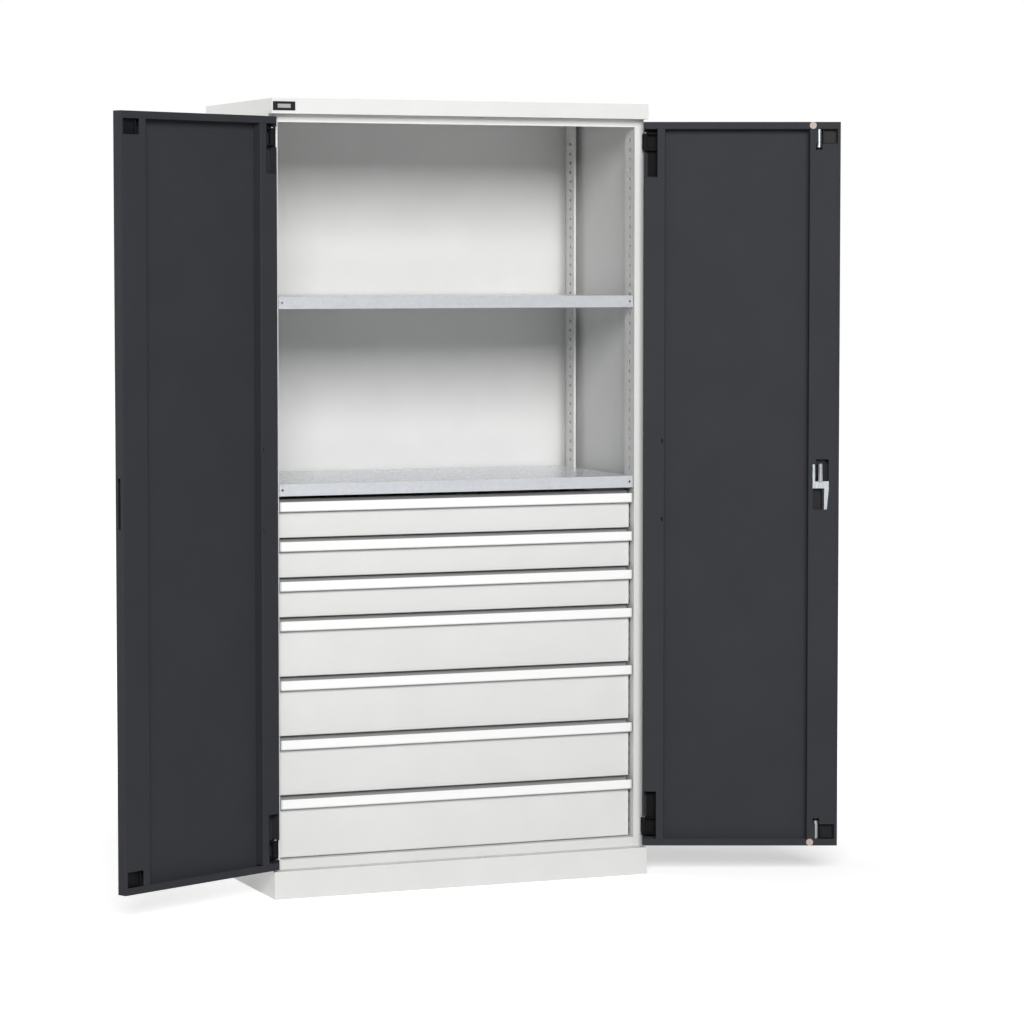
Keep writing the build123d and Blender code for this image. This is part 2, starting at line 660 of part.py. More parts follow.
def make_lock_bracket():
    """A cross plate on the stile, with a tongue, a tapered lever and the lock's barrel."""
    w = INWARD["right"]
    middle = ROD_X + BRACKET_SHIFT
    left = middle - BRACKET_WIDTH / 2
    right = middle + BRACKET_WIDTH / 2
    bottom = LOCK_HEIGHT - BRACKET_HEIGHT / 2
    top = LOCK_HEIGHT + BRACKET_HEIGHT / 2
    lever_end = bottom - LEVER_DROP
    door = DOOR_PLANES["right"]
    # A sketch on the stile's face has the door's x and the cabinet's height
    face = Plane(
        origin=door.from_local_coords((0, w * DOOR_INNER, 0)),
        x_dir=door.x_dir,
        z_dir=door.y_dir * w,
    )
    up = 1 if face.y_dir.Z > 0 else -1
    with BuildPart() as bracket:
        with BuildSketch(face):
            with BuildLine():
                Polyline(
                    (left, up * bottom),
                    (right - LEVER_WIDTH, up * bottom),
                    (right - LEVER_WIDTH, up * lever_end),
                    (right - LEVER_WIDTH + LEVER_TIP_WIDTH, up * lever_end),
                    (right, up * bottom),
                    (right, up * top),
                    (left + BRACKET_TONGUE, up * top),
                    (left + BRACKET_TONGUE, up * (bottom + BRACKET_TONGUE_HEIGHT)),
                    (left, up * (bottom + BRACKET_TONGUE_HEIGHT)),
                    close=True,
                )
            make_face()
        extrude(amount=BRACKET_THICKNESS)
    with BuildPart(door) as barrel:
        base = LOCK_HEIGHT + LOCK_WINDOW_LIFT + CAM_GAP
        depth = CASE_COVER_FACE + COVER_TO_BARREL + BARREL_RADIUS
        with Locations((middle, w * depth, base + BARREL_LENGTH / 2)):
            Cylinder(BARREL_RADIUS, BARREL_LENGTH)
    with BuildPart() as whole:
        add(bracket.part)
        add(barrel.part)
    save(whole.part, "lock_bracket")


def make_rod(way, name):
    """A round rod with a flat tail towards the cam; way is 1 up and -1 down."""
    w = INWARD["right"]
    end = RAIL_LEVELS[1] if way > 0 else RAIL_LEVELS[0]
    start = LOCK_HEIGHT + way * (LOCK_CASE_HEIGHT / 2 + TAIL_GAP)
    tail_end = LOCK_HEIGHT + way * (CAM_RADIUS + TAIL_GAP)
    tail_depth = (w * (CASE_FACE + CAM_GAP), w * (CASE_FACE + CAM_GAP + CAM_THICKNESS))
    with BuildPart(DOOR_PLANES["right"]) as rod:
        with Locations((ROD_X, w * ROD_Y, (start + end) / 2)):
            Cylinder(ROD_RADIUS, abs(end - start))
        half = TAIL_WIDTH / 2
        block((ROD_X - half, ROD_X + half), tail_depth, (tail_end, start + way * ROD_RADIUS))
    save(rod.part, name)


def make_rod_guides():
    """Two blocks on the outer sheet, bored for the rods."""
    w = INWARD["right"]
    half = GUIDE_WIDTH / 2
    low, high = RAIL_LEVELS
    depth = (w * (DOOR_OUTER + SHEET), w * (DOOR_INNER - SHEET))
    with BuildPart(DOOR_PLANES["right"]) as guides:
        for z in (low + GUIDE_FROM_ROD_END, high - GUIDE_FROM_ROD_END):
            levels = (z - GUIDE_HEIGHT / 2, z + GUIDE_HEIGHT / 2)
            block((ROD_X - half, ROD_X + half), depth, levels)
            with Locations((ROD_X, w * ROD_Y, z)):
                bore = ROD_RADIUS + GUIDE_CLEARANCE
                Cylinder(bore, GUIDE_HEIGHT, mode=Mode.SUBTRACT)
    save(guides.part, "rod_guides")


def make_cam():
    """The cam disc in front of the case, on its spindle through the outer sheet."""
    w = INWARD["right"]
    back = CASE_FACE + CAM_GAP
    with BuildPart(DOOR_PLANES["right"]) as cam:
        with Locations((ROD_X, w * (back + CAM_THICKNESS / 2), LOCK_HEIGHT)):
            Cylinder(CAM_RADIUS, CAM_THICKNESS, rotation=(90, 0, 0))
        length = back - DOOR_OUTER + HANDLE_GAP
        middle = (back + DOOR_OUTER - HANDLE_GAP) / 2
        with Locations((ROD_X, w * middle, LOCK_HEIGHT)):
            Cylinder(SPINDLE_RADIUS, length, rotation=(90, 0, 0))
    save(cam.part, "lock_cam")


def make_handle():
    """The outside lever: a round hub, bored for the key barrel, and a grip hanging down."""
    w = INWARD["right"]
    near = DOOR_OUTER - HANDLE_GAP
    far = near - HANDLE_THICKNESS
    with BuildPart(DOOR_PLANES["right"]) as handle:
        with Locations((ROD_X, w * (near + far) / 2, LOCK_HEIGHT)):
            Cylinder(HUB_RADIUS, HANDLE_THICKNESS, rotation=(90, 0, 0))
        half = HANDLE_WIDTH / 2
        block(
            (ROD_X - half, ROD_X + half),
            (w * near, w * far),
            (LOCK_HEIGHT - HANDLE_LENGTH, LOCK_HEIGHT),
        )
        bore = KEY_BARREL_RADIUS + SPINDLE_CLEARANCE
        depth = HANDLE_THICKNESS / 2
        with Locations((ROD_X, w * (far + depth / 2), LOCK_HEIGHT)):
            Cylinder(bore, depth, rotation=(90, 0, 0), mode=Mode.SUBTRACT)
    save(handle.part, "door_handle")


def make_key_barrel():
    w = INWARD["right"]
    far = DOOR_OUTER - HANDLE_GAP - HANDLE_THICKNESS
    near = far + HANDLE_THICKNESS / 2 - SPINDLE_CLEARANCE
    face = far - KEY_BARREL_PROUD
    with BuildPart(DOOR_PLANES["right"]) as barrel:
        with Locations((ROD_X, w * (near + face) / 2, LOCK_HEIGHT)):
            Cylinder(KEY_BARREL_RADIUS, near - face, rotation=(90, 0, 0))
        block(
            (ROD_X - KEY_SLOT_WIDTH / 2, ROD_X + KEY_SLOT_WIDTH / 2),
            (w * face, w * (face + KEY_SLOT_DEPTH)),
            (LOCK_HEIGHT - KEY_BARREL_RADIUS / 2, LOCK_HEIGHT + KEY_BARREL_RADIUS / 2),
            Mode.SUBTRACT,
        )
    save(barrel.part, "key_barrel")


def drawer_levels():
    """Each drawer's lower level and module, from the top one down."""
    level = FLOOR_TOP + STACK_GAP + sum(DRAWER_MODULES)
    levels = []
    for module in DRAWER_MODULES:
        level -= module
        levels.append((level, module))
    return levels


def make_runners():
    """The channels on the uprights that the drawers' rails run in."""
    with BuildPart() as runners:
        for level, _ in drawer_levels():
            low = level + RUNNER_LIFT
            span = (low, low + RUNNER_HEIGHT)
            groove = (low + RUNNER_WALL, low + RUNNER_HEIGHT - RUNNER_WALL)
            along = (FRONT_BACK + FRONT_GAP, FRONT_BACK + FRONT_GAP + RUNNER_LENGTH)
            for side in (-1, 1):
                block((side * INSIDE, side * (INSIDE - RUNNER_DEPTH)), along, span)
                inner = (side * (INSIDE - RUNNER_WALL), side * (INSIDE - RUNNER_DEPTH))
                block(inner, along, groove, Mode.SUBTRACT)
    save(runners.part, "cabinet_runners")


def make_drawer(number, level, module):
    half = INSIDE - FRONT_SIDE_CLEARANCE
    low = level + FRONT_GAP / 2
    high = level + module - FRONT_GAP / 2
    channel = high - GRIP_DROP - GRIP_HEIGHT
    with BuildPart() as front:
        block((-half, half), (FRONT_FACE, FRONT_BACK), (low, channel))
        block(
            (SHEET - half, half - SHEET),
            (FRONT_FACE + SHEET, FRONT_BACK - SHEET),
            (low + SHEET, channel - SHEET),
            Mode.SUBTRACT,
        )
    save(front.part, f"drawer_{number}_front")

    # A channel on top of the front: a lip at its face, a floor, and a wall at its back
    grip_half = INSIDE - GRIP_SIDE_CLEARANCE
    grip_face = FRONT_FACE - GRIP_PROJECTION
    with BuildPart() as grip:
        block((-grip_half, grip_half), (grip_face, FRONT_BACK), (channel, high - GRIP_DROP))
        block((-half, half), (FRONT_BACK - GRIP_WALL, FRONT_BACK), (channel, high))
        block(
            (GRIP_CAP_WIDTH - grip_half, grip_half - GRIP_CAP_WIDTH),
            (grip_face + GRIP_WALL, FRONT_BACK - GRIP_WALL),
            (channel + GRIP_WALL, high - GRIP_DROP),
            Mode.SUBTRACT,
        )
    save(grip.part, f"drawer_{number}_grip")

    box_levels = (level + DRAWER_FLOOR_LIFT, level + module - DRAWER_TOP_CLEARANCE)
    with BuildPart() as box:
        depth = (FRONT_BACK, FRONT_BACK + DRAWER_DEPTH)
        block((-BOX_HALF, BOX_HALF), depth, box_levels)
        block(
            (SHEET - BOX_HALF, BOX_HALF - SHEET),
            (depth[0] + SHEET, depth[1] - SHEET),
            (box_levels[0] + SHEET, box_levels[1]),
            Mode.SUBTRACT,
        )
    save(box.part, f"drawer_{number}_box")

    margin = RUNNER_WALL + RUNNER_CLEARANCE
    rail_levels = (level + RUNNER_LIFT + margin, level + RUNNER_LIFT + RUNNER_HEIGHT - margin)
    with BuildPart() as rails:
        for side in (-1, 1):
            block(
                (side * BOX_HALF, side * (INSIDE - margin)),
                (FRONT_BACK, FRONT_BACK + RAIL_LENGTH),
                rail_levels,
            )
    save(rails.part, f"drawer_{number}_rails")


os.makedirs("parts", exist_ok=True)
make_cap()
make_plinth()
make_side(-1, "left_side_panel")
make_side(1, "right_side_panel")
make_back()
make_roof()
make_floor()
make_uprights()
make_shelf(UPPER_SHELF_TOP, "upper_shelf")
make_shelf(LOWER_SHELF_TOP, "lower_shelf")
make_hooks()
make_name_plate()
make_hinge_brackets()
make_hinge_pins()
make_runners()
for hand in ("left", "right"):
    make_door_skin(hand)
    make_hinge_stile(hand)
    make_free_stile(hand)
    make_hinge_leaves(hand)
make_buffers()
make_lock_case()
make_lock_bracket()
make_rod(1, "upper_rod")
make_rod(-1, "lower_rod")
make_rod_guides()
make_cam()
make_handle()
make_key_barrel()
for index, (drawer_level, drawer_module) in enumerate(drawer_levels()):
    make_drawer(index + 1, drawer_level, drawer_module)
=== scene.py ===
"""Two-door tool cabinet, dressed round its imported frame: powder-coated steel, zinc shelves,
dark doors with their lock gear, white grip strips, and a pale studio round it."""
import json
import math

import bpy
from mathutils import Matrix, Vector

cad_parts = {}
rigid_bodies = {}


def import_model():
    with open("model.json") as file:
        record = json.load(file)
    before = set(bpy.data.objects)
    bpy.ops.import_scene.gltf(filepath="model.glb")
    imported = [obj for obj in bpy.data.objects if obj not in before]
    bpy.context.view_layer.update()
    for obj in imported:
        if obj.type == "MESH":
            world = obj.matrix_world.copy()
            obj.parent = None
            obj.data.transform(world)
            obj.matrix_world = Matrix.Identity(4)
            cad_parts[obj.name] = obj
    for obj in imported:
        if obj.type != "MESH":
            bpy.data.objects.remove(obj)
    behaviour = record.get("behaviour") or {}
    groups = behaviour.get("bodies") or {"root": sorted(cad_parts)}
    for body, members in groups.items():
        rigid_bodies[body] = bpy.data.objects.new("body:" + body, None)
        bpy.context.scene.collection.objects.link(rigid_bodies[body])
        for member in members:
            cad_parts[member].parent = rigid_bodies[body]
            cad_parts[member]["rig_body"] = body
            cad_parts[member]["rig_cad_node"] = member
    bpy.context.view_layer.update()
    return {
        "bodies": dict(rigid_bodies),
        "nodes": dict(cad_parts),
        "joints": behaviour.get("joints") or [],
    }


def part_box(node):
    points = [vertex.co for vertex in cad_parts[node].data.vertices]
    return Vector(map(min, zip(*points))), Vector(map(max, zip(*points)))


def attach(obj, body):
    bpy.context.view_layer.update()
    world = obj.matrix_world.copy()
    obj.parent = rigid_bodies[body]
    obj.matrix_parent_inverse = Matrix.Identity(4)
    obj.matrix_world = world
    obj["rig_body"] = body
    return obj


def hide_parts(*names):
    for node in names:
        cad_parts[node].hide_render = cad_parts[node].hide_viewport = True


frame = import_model()
nodes = frame["nodes"]
joints = {joint["name"]: joint for joint in frame["joints"]}
bpy.ops.object.select_all(action="DESELECT")

MM = 0.001

# ---------------------------------------------------------------- measures

# Rounding of edges, by kind of piece.
SHEET_ROUND = 0.6 * MM
BLOCK_ROUND = 3 * MM
HANDLE_ROUND = 2.5 * MM
CASE_ROUND = 0.8 * MM
FITTING_ROUND = 0.5 * MM
SMALL_ROUND = 0.4 * MM
BARREL_ROUND = 0.3 * MM
INLAY_ROUND = 0.1 * MM
HINGE_SHADE_ROUND = 0.3 * MM
ROUND_ANGLE = math.radians(35)
FLAT_ANGLE = math.radians(0.5)
MERGE_REACH = 0.01 * MM

# Finger channels: the rolled lower edge, the lip's wall and its end caps.
GRIP_ROLL = 5 * MM
GRIP_ROLL_STEPS = 5
GRIP_CAP = 4 * MM
LIP_WALL = 2.4 * MM

# Hinge plates on the posts, and the dark sheets of painted shade next to the left ones.
PLATE_THICKNESS = 1.5 * MM
PLATE_FACE_MARGIN = 0.1 * MM
PLATE_WIDTH = 9 * MM
PLATE_HEIGHT = 56 * MM
HINGE_SHADE_WIDTH = 13 * MM

# Length of a lock rod's plated tip.
ROD_TIP = 47 * MM

# Open doors, turned about their pins. Shut, the left one points to +X, the right one to -X.
HINGE_JOINTS = {"left": "left_door_hinge", "right": "right_door_hinge"}
OPENING = {"left": math.radians(-155), "right": math.radians(180 + 158)}
INWARD = {"left": 1, "right": -1}

# Corner windows of the free stiles: along the door from its pin, and up from the floor.
DOOR_SEAT = -11.5 * MM
WINDOW_START = 446.5 * MM
WINDOW_END = 496.5 * MM
ROD_SIDE = 459 * MM
WINDOW_LEVELS = {"lower": (93 * MM, 131 * MM), "upper": (1899 * MM, 1937 * MM)}

# Trays in those windows.
INSERT_FACE = 6 * MM
INSERT_WALL = 2.5 * MM
INSERT_DEPTH = 8 * MM
FIT = 0.6 * MM

# Pale sheet in the bare plate on the cap.
INLAY_RIM = 12 * MM
INLAY_SUNK = 0.8 * MM
INLAY_GAP = 0.1 * MM
INLAY_THICKNESS = 0.4 * MM

# ---------------------------------------------------------------- grain of the finishes

# Scales are in features to the metre, depths in metres.
CLOUD_SCALE = 7.0
CLOUD_DETAIL = 3.0
PAINT_GRAIN = 900.0
PAINT_DEPTH = 0.00012
PAINT_STRENGTH = 0.35
PAINT_GLOSS_SPREAD = 0.05
CRYSTAL_SCALE = 130.0
ROLLED_SCALE = 40.0
ROLLED_STRETCH = (1, 30, 30)
ROLLED_DEPTH = 0.00008
ROLLED_STRENGTH = 0.25
DRAWN_SCALE = 60.0
DRAWN_STRETCH = (25, 25, 1)
LIP_GRAIN = 1300.0
LIP_DEPTH = 0.0001
LIP_STRENGTH = 0.3
STEEL_MOTTLE = 40.0
PLASTIC_GRAIN = 1400.0
PLASTIC_MOTTLE = 25.0
PLASTIC_DEPTH = 0.00008
PLASTIC_STRENGTH = 0.3

# Sockets of a colour mix node, which share their names with its other kinds.
MIX_SHARE, MIX_FIRST, MIX_SECOND, MIX_RESULT = 0, 6, 7, 2

# ---------------------------------------------------------------- shader helpers


def new_material(name, roughness, metallic=0.0):
    """A material with its node tree, its shader, and Object coordinates to read."""
    material = bpy.data.materials.new(name)
    material.use_nodes = True
    tree = material.node_tree
    shader = tree.nodes["Principled BSDF"]
    shader.inputs["Roughness"].default_value = roughness
    shader.inputs["Metallic"].default_value = metallic
    place = tree.nodes.new("ShaderNodeTexCoord")
    return material, tree, shader, place.outputs["Object"]


def noise(tree, vector, scale, detail=2.0, stretch=None):
    """Soft noise, finer along an axis where its stretch is larger."""
    if stretch is not None:
        mapping = tree.nodes.new("ShaderNodeMapping")
        mapping.inputs["Scale"].default_value = stretch
        tree.links.new(vector, mapping.inputs["Vector"])
        vector = mapping.outputs["Vector"]
    node = tree.nodes.new("ShaderNodeTexNoise")
    node.inputs["Scale"].default_value = scale
    node.inputs["Detail"].default_value = detail
    tree.links.new(vector, node.inputs["Vector"])
    return node.outputs["Fac"]


def ramp(tree, value, low, high, start=0.35, end=0.65):
    """Two colours, or two greys, blended by a value."""
    node = tree.nodes.new("ShaderNodeValToRGB")
    node.color_ramp.elements[0].position = start
    node.color_ramp.elements[1].position = end
    node.color_ramp.elements[0].color = (*low, 1)
    node.color_ramp.elements[1].color = (*high, 1)
    tree.links.new(value, node.inputs["Fac"])
    return node.outputs["Color"]


def glossed(tree, shader, value, low, high, *span):
    """Lets a value move the shader's roughness between two levels."""
    tree.links.new(ramp(tree, value, (low,) * 3, (high,) * 3, *span), shader.inputs["Roughness"])


def toned(tree, shader, tone):
    """Gives the shader its colour from a socket."""
    tree.links.new(tone, shader.inputs["Base Color"])


def maths(tree, operation, first, second=None):
    """A sum on a node's output and another output or a number."""
    node = tree.nodes.new("ShaderNodeMath")
    node.operation = operation
    tree.links.new(first, node.inputs[0])
    if isinstance(second, float):
        node.inputs[1].default_value = second
    elif second is not None:
        tree.links.new(second, node.inputs[1])
    return node.outputs["Value"]


def split(tree, place):
    """The three coordinates of a place."""
    parts = tree.nodes.new("ShaderNodeSeparateXYZ")
    tree.links.new(place, parts.inputs["Vector"])
    return parts.outputs


def past(tree, place, axis, level):
    """One where a place lies beyond a level on an axis, and zero elsewhere."""
    return maths(tree, "GREATER_THAN", split(tree, place)[axis], level)


def mixed(tree, share, first, second):
    """A socket's colour where the share is zero, and a plain colour where it is one."""
    mix = tree.nodes.new("ShaderNodeMix")
    mix.data_type = "RGBA"
    tree.links.new(share, mix.inputs[MIX_SHARE])
    tree.links.new(first, mix.inputs[MIX_FIRST])
    mix.inputs[MIX_SECOND].default_value = (*second, 1)
    return mix.outputs[MIX_RESULT]


def banded(tree, place, axis, centre, reach, inner, outer):
    """One colour within a reach of a level on an axis, and another colour beyond it."""
    offset = maths(tree, "SUBTRACT", split(tree, place)[axis], centre)
    distance = maths(tree, "ABSOLUTE", offset)
    return ramp(tree, maths(tree, "GREATER_THAN", distance, reach), inner, outer)


def relief(tree, shader, height, distance, strength):
    """Lets a value raise the surface in the shader's normal."""
    bump = tree.nodes.new("ShaderNodeBump")
    bump.inputs["Distance"].default_value = distance
    bump.inputs["Strength"].default_value = strength
    tree.links.new(height, bump.inputs["Height"])
    tree.links.new(bump.outputs["Normal"], shader.inputs["Normal"])


def linear(r, g, b):
    """A screen colour, each part out of 255, as scene-linear numbers."""
    parts = [part / 255 for part in (r, g, b)]
    return tuple(p / 12.92 if p < 0.04045 else ((p + 0.055) / 1.055) ** 2.4 for p in parts)


def shaded(colour, factor):
    """A colour made darker or lighter by a factor."""
    return tuple(min(1.0, part * factor) for part in colour)


def mottled(tree, value, colour, spread):
    """A colour that a value moves by a share to each side."""
    return ramp(tree, value, shaded(colour, 1 - spread), shaded(colour, 1 + spread))


# ---------------------------------------------------------------- finishes


def powder_coat(name, colour, roughness, spread, specular=0.5):
    """Baked powder paint: a fine even grain, faint clouds of tone, soft sheen."""
    material, tree, shader, place = new_material(name, roughness)
    shader.inputs["Specular IOR Level"].default_value = specular
    clouds = noise(tree, place, CLOUD_SCALE, CLOUD_DETAIL)
    toned(tree, shader, mottled(tree, clouds, colour, spread))
    grains = noise(tree, place, PAINT_GRAIN, 1.0)
    low, high = roughness - PAINT_GLOSS_SPREAD, roughness + PAINT_GLOSS_SPREAD
    glossed(tree, shader, grains, low, high)
    relief(tree, shader, grains, PAINT_DEPTH, PAINT_STRENGTH)
    return material


def zinc_coat(name, colour):
    """Hot-dipped sheet: soft crystal patches and a faint rolled grain."""
    material, tree, shader, place = new_material(name, 0.25, 0.4)
    crystals = tree.nodes.new("ShaderNodeTexVoronoi")
    crystals.inputs["Scale"].default_value = CRYSTAL_SCALE
    tree.links.new(place, crystals.inputs["Vector"])
    grey = tree.nodes.new("ShaderNodeRGBToBW")
    tree.links.new(crystals.outputs["Color"], grey.inputs["Color"])
    patch = grey.outputs["Val"]
    toned(tree, shader, ramp(tree, patch, shaded(colour, 0.965), shaded(colour, 1.02), 0.2, 0.8))
    glossed(tree, shader, patch, 0.2, 0.27, 0.1, 0.9)
    rolled_grain = noise(tree, place, ROLLED_SCALE, stretch=ROLLED_STRETCH)
    relief(tree, shader, rolled_grain, ROLLED_DEPTH, ROLLED_STRENGTH)
    return material


def bright_metal(name, colour, roughness):
    """Plated steel with a fine drawn grain along its length."""
    material, tree, shader, place = new_material(name, roughness, 1.0)
    drawn = noise(tree, place, DRAWN_SCALE, stretch=DRAWN_STRETCH)
    toned(tree, shader, ramp(tree, drawn, shaded(colour, 0.94), colour))
    glossed(tree, shader, drawn, roughness - 0.04, roughness + 0.06)
    return material


def rod_metal(name, centre, reach):
    """Blackened steel that turns into bright plate at the rod's tip."""
    material, tree, shader, place = new_material(name, 0.32, 0.9)
    toned(tree, shader, banded(tree, place, "Z", centre, reach, BLACK, PLATED))
    drawn = noise(tree, place, DRAWN_SCALE, stretch=DRAWN_STRETCH)
    glossed(tree, shader, drawn, 0.28, 0.36)
    return material


def grip_coat_with_shade(name, reach, lip_back):
    """A white-coated lip with grey moulded end caps, in front of a channel painted grey as its
    shade.
    """
    material, tree, shader, place = new_material(name, 0.38)
    lip = banded(tree, place, "X", 0.0, reach, GRIP_WHITE, END_CAP_GREY)
    painted_shade_zone = past(tree, place, "Y", lip_back)
    # The channel behind the lip is coloured grey as a painted shade.
    toned(tree, shader, mixed(tree, painted_shade_zone, lip, PAINTED_CHANNEL_SHADE))
    grains = noise(tree, place, LIP_GRAIN, 1.0)
    glossed(tree, shader, grains, 0.33, 0.43)
    relief(tree, shader, grains, LIP_DEPTH, LIP_STRENGTH)
    return material


def hinge_steel_and_shade(name, plate_face):
    """Blackened steel arms, with the left post's plates also dark as a painted shade and the
    right post's plates in the body's own paint.
    """
    material, tree, shader, place = new_material(name, 0.75)
    shader.inputs["Specular IOR Level"].default_value = 0.12
    steel = mottled(tree, noise(tree, place, STEEL_MOTTLE), BLACK, 0.1)
    on_plate = past(tree, place, "Y", plate_face)
    on_right = past(tree, place, "X", 0.0)
    painted = maths(tree, "MULTIPLY", on_plate, on_right)
    # The left post's plates keep the dark steel as a painted shade.
    toned(tree, shader, mixed(tree, painted, steel, LIGHT_GREY))
    return material


def moulded(name, colour, roughness):
    """Moulded plastic with a matt spark-eroded grain."""
    material, tree, shader, place = new_material(name, roughness)
    shader.inputs["Specular IOR Level"].default_value = 0.2
    toned(tree, shader, mottled(tree, noise(tree, place, PLASTIC_MOTTLE), colour, 0.06))
    grains = noise(tree, place, PLASTIC_GRAIN)
    relief(tree, shader, grains, PLASTIC_DEPTH, PLASTIC_STRENGTH)
    return material


LIGHT_GREY = linear(206, 206, 204)
DOOR_GREY = linear(49, 50, 54)
STEEL_BLACK = linear(16, 16, 18)
ZINC = linear(212, 215, 220)
GRIP_WHITE = linear(230, 230, 230)
END_CAP_GREY = linear(196, 197, 200)
# Grey painted shade for the finger channel behind the grip lip.
PAINTED_CHANNEL_SHADE = linear(146, 146, 147)
PLATED = linear(196, 202, 206)
BLACK = linear(20, 20, 23)
INLAY_GREY = linear(150, 152, 155)
BEIGE = linear(176, 160, 152)

POST_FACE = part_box("hinge_brackets")[1].y
grip_low, grip_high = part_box("drawer_1_grip")

body_paint = powder_coat("light grey powder coat", LIGHT_GREY, 0.52, 0.015)
plinth_paint = powder_coat("plinth powder coat", LIGHT_GREY, 0.55, 0.015)
door_paint = powder_coat("dark grey powder coat", DOOR_GREY, 0.7, 0.03, specular=0.1)
zinc = zinc_coat("galvanised sheet", ZINC)
# Grip coat, with the channel behind the lip in a painted shade.
grip_white_and_shade = grip_coat_with_shade("white grip coat and painted channel shade", grip_high.x - GRIP_CAP, grip_low.y + LIP_WALL)
black_steel = powder_coat("blackened steel", STEEL_BLACK, 0.75, 0.05, specular=0.12)
# Hinge steel, with the left post's plates darkened as a painted shade.
hinge_black_and_shade = hinge_steel_and_shade("hinge steel and painted shade", POST_FACE - PLATE_THICKNESS - PLATE_FACE_MARGIN)
plated = bright_metal("bright plated steel", PLATED, 0.26)
black_plastic = moulded("black moulded plastic", BLACK, 0.5)
inlay_grey = moulded("pale plate inlay", INLAY_GREY, 0.45)
beige_plastic = moulded("beige moulded plastic", BEIGE, 0.55)

# ---------------------------------------------------------------- modelling helpers


def only(piece):
    """Makes one object the active and only selected one."""
    bpy.ops.object.select_all(action="DESELECT")
    piece.select_set(True)
    bpy.context.view_layer.objects.active = piece


def coat(piece, material):
    """Gives a piece one material and no other."""
    piece.data.materials.clear()
    piece.data.materials.append(material)


def finished(piece, material, body):
    """Coats a piece and names the body it rides."""
    coat(piece, material)
    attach(piece, body)


def rounded(piece, width, segments=2):
    """Rounds a piece's edges and smooths it, with its large faces left flat."""
    only(piece)
    bevel = piece.modifiers.new("edges", "BEVEL")
    bevel.width = width
    bevel.segments = segments
    bevel.limit_method = "ANGLE"
    bevel.angle_limit = ROUND_ANGLE
    bpy.ops.object.modifier_apply(modifier="edges")
    bpy.ops.object.shade_smooth_by_angle(angle=ROUND_ANGLE)
    level = piece.modifiers.new("level faces", "WEIGHTED_NORMAL")
    level.keep_sharp = True
    bpy.ops.object.modifier_apply(modifier="level faces")


def pick_front_foot(mesh):
    """Selects the edges and corners that lie both lowest and furthest to the front."""
    front = min(vertex.co.y for vertex in mesh.vertices)
    foot = min(vertex.co.z for vertex in mesh.vertices)
    for polygon in mesh.polygons:
        polygon.select = False
    for vertex in mesh.vertices:
        off = max(abs(vertex.co.y - front), abs(vertex.co.z - foot))
        vertex.select = off < MERGE_REACH
    for edge in mesh.edges:
        edge.select = all(mesh.vertices[index].select for index in edge.vertices)


def rolled(piece, radius):
    """Rolls over the lower front edge of a piece that lies open in edit mode."""
    bpy.ops.object.mode_set(mode="OBJECT")
    pick_front_foot(piece.data)
    bpy.ops.object.mode_set(mode="EDIT")
    bpy.ops.mesh.select_mode(type="EDGE")
    bpy.ops.mesh.bevel(offset=radius, segments=GRIP_ROLL_STEPS)


def dressed(node, material, width, body, roll=0.0):
    """Puts a copy of a CAD node in its place, corners merged and edges rounded."""
    piece = nodes[node].copy()
    piece.data = nodes[node].data.copy()
    piece.name = f"{node}_finished"
    piece.parent = None
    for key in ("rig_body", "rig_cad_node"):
        del piece[key]
    bpy.context.scene.collection.objects.link(piece)
    only(piece)
    bpy.ops.object.mode_set(mode="EDIT")
    bpy.ops.mesh.select_all(action="SELECT")
    bpy.ops.mesh.remove_doubles(threshold=MERGE_REACH)
    bpy.ops.mesh.dissolve_limited(angle_limit=FLAT_ANGLE)
    if roll:
        rolled(piece, roll)
    bpy.ops.object.mode_set(mode="OBJECT")
    rounded(piece, width)
    finished(piece, material, body)
    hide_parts(node)


def cuboid(name, low, high):
    """A box between two corners, with its place in its mesh."""
    low, high = Vector(low), Vector(high)
    bpy.ops.object.select_all(action="DESELECT")
    bpy.ops.mesh.primitive_cube_add(size=1, location=(0, 0, 0))
    piece = bpy.context.object
    piece.name = name
    size = Matrix.Diagonal((*(high - low), 1))
    piece.data.transform(Matrix.Translation((low + high) / 2) @ size)
    return piece


def tray(name, low, high, wall, depth, face):
    """A block between two corners with a shallow recess in its face towards +Y or -Y."""
    piece = cuboid(name, low, high)
    bpy.ops.object.mode_set(mode="EDIT")
    bpy.ops.mesh.select_all(action="DESELECT")
    bpy.ops.object.mode_set(mode="OBJECT")
    for polygon in piece.data.polygons:
        polygon.select = polygon.normal.y * face > 0.5
    bpy.ops.object.mode_set(mode="EDIT")
    bpy.ops.mesh.select_mode(type="FACE")
    bpy.ops.mesh.inset(thickness=wall)
    sink = {"value": (0, -face * depth, 0)}
    bpy.ops.mesh.extrude_region_move(TRANSFORM_OT_translate=sink)
    bpy.ops.object.mode_set(mode="OBJECT")
    return piece


# ---------------------------------------------------------------- finishes of the nodes

PAINTED_BODY = ["cap", "left_side_panel", "right_side_panel", "back_panel", "roof_panel"]
PAINTED_BODY += ["floor_panel"]
DRAWERS = [body for body in frame["bodies"] if body.startswith("drawer_")]


